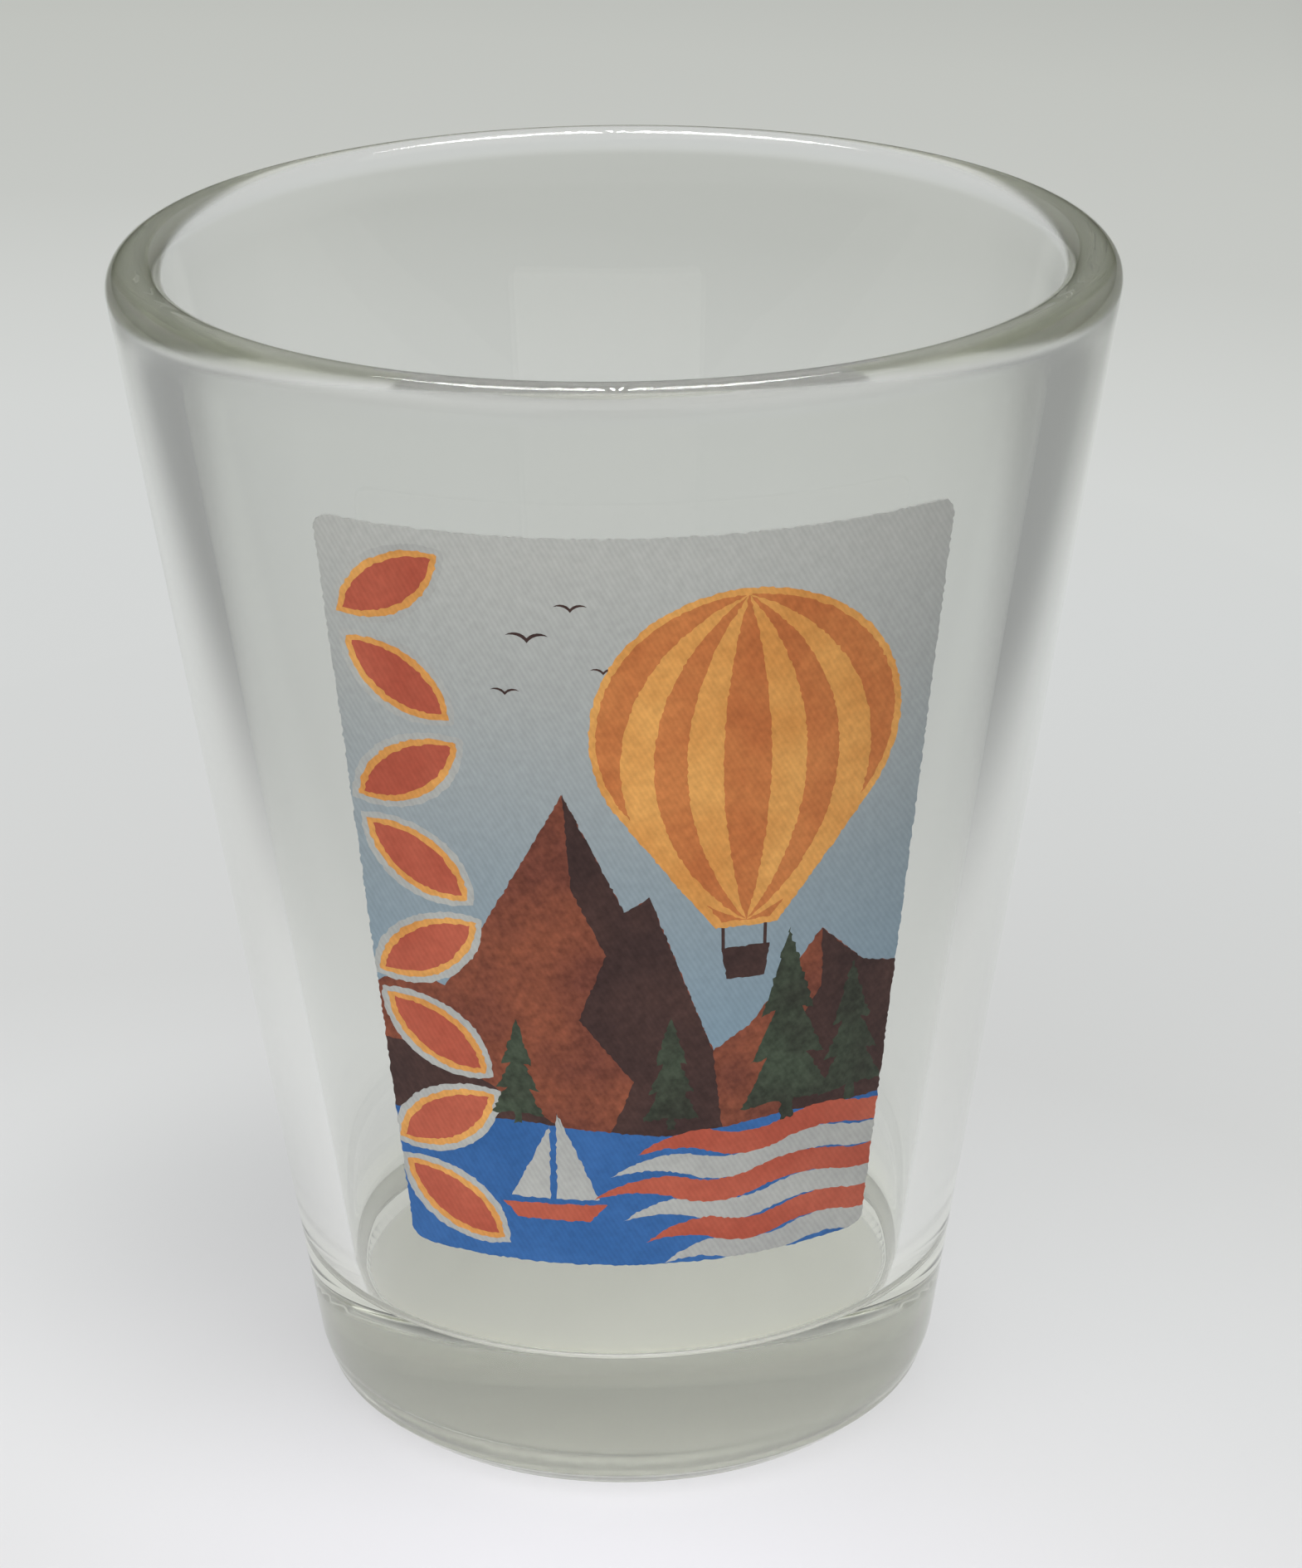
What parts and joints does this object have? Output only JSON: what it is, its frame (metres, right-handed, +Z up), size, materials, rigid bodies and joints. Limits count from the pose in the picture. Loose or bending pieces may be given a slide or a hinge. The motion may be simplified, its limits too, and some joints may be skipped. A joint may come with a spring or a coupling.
{
  "type": "shot glass",
  "caption": "Tapered pressed-glass shot glass with a thick rounded base, a rolled rim and a colour picture of a balloon over mountains and a lake on its front",
  "frame": {"origin": "centre of the foot plane that the glass stands on", "axes": "+Z up along the glass's axis; the picture faces -Y; +X to the right of the picture"},
  "size_m": [0.0482, 0.0482, 0.06],
  "materials": {
    "glass": "clear pressed soda-lime glass with a faint grey-green body tint",
    "ground_ink": "pale grey-white fired enamel",
    "sky_ink": "grey-blue fired enamel",
    "orange_ink": "orange fired enamel",
    "yellow_ink": "yellow fired enamel",
    "terracotta_ink": "terracotta fired enamel",
    "brown_ink": "dark brown fired enamel",
    "green_ink": "dark green fired enamel",
    "blue_ink": "royal blue fired enamel",
    "red_ink": "red-orange fired enamel",
    "white_ink": "grey-white fired enamel"
  },
  "bodies": {
    "root": {"glass_body": "glass", "print_ground": "ground_ink", "print_sky": "sky_ink", "print_orange": "orange_ink", "print_yellow": "yellow_ink", "print_terracotta": "terracotta_ink", "print_brown": "brown_ink", "print_green": "green_ink", "print_blue": "blue_ink", "print_red": "red_ink", "print_white": "white_ink"}
  },
  "joints": []
}
